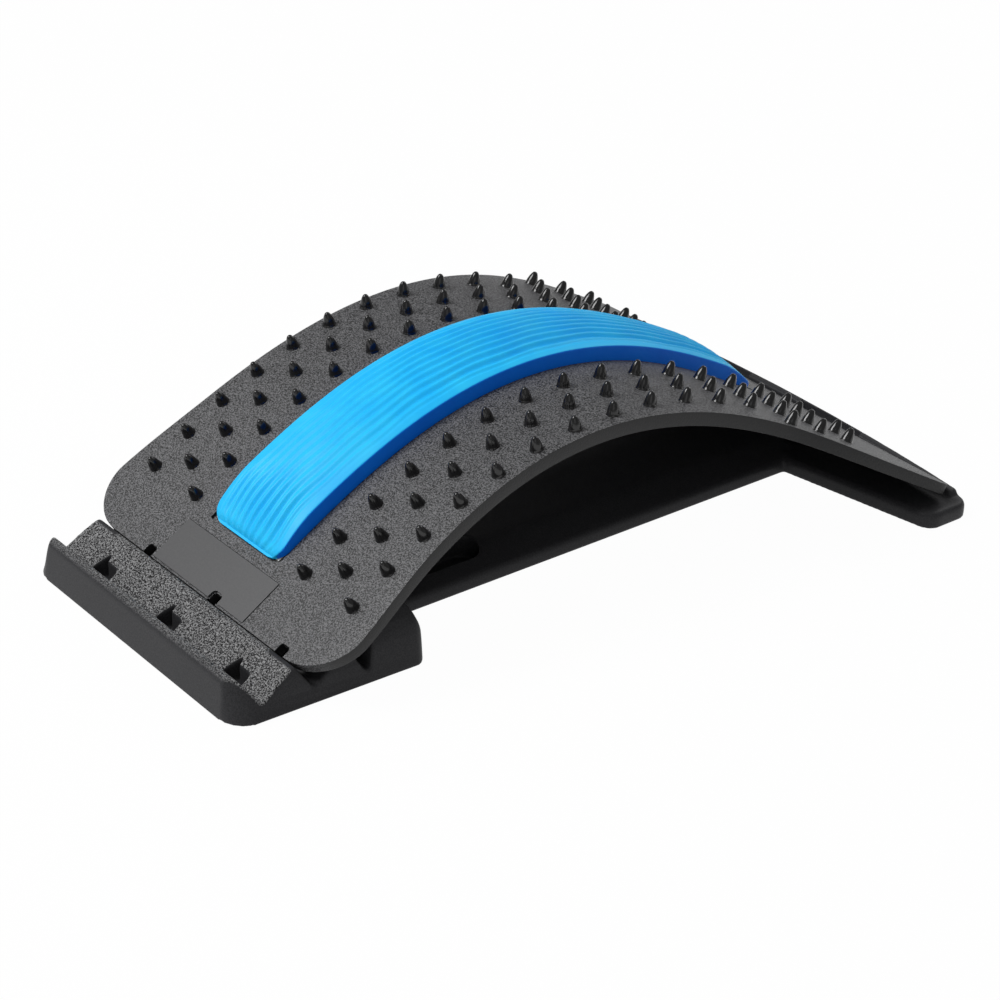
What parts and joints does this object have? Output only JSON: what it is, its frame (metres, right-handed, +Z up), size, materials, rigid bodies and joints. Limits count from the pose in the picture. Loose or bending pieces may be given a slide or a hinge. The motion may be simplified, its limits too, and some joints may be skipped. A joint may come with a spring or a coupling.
{
  "type": "back stretcher",
  "caption": "Arched, studded lumbar plate with a ribbed centre pad, hooked into a grooved rack at one end and a slotted rail at the other on an I-shaped base.",
  "frame": {"origin": "centre of the footprint, on the surface that the foot pads stand on", "axes": "+X across the width, +Y from the grooved rack towards the slotted rail, +Z up"},
  "size_m": [0.26, 0.378, 0.0944],
  "materials": {
    "base_plastic": "satin moulded black ABS, sparkle grain on the rack",
    "plate_plastic": "fine spark-eroded grain, charcoal ABS",
    "pad_foam": "smooth skinned foam rubber",
    "adhesive": "double-sided adhesive film",
    "label_film": "smooth grey film, left blank",
    "foot_rubber": "moulded black rubber"
  },
  "bodies": {
    "base": {"base_frame": "base_plastic", "foot_pad_near_left": "foot_rubber", "foot_pad_near_right": "foot_rubber", "foot_pad_far_left": "foot_rubber", "foot_pad_far_right": "foot_rubber"},
    "arch": {"arch_plate": "plate_plastic", "ribbed_pad": "pad_foam", "pad_adhesive_film": "adhesive", "blank_label_plate": "label_film"}
  },
  "joints": [
    {"name": "arch_lift", "type": "hinge", "parent": "base", "child": "arch", "pos_m": [0, 0.17806, 0.01434], "axis": [-1, 0, 0], "range_deg": [0, 45]}
  ]
}
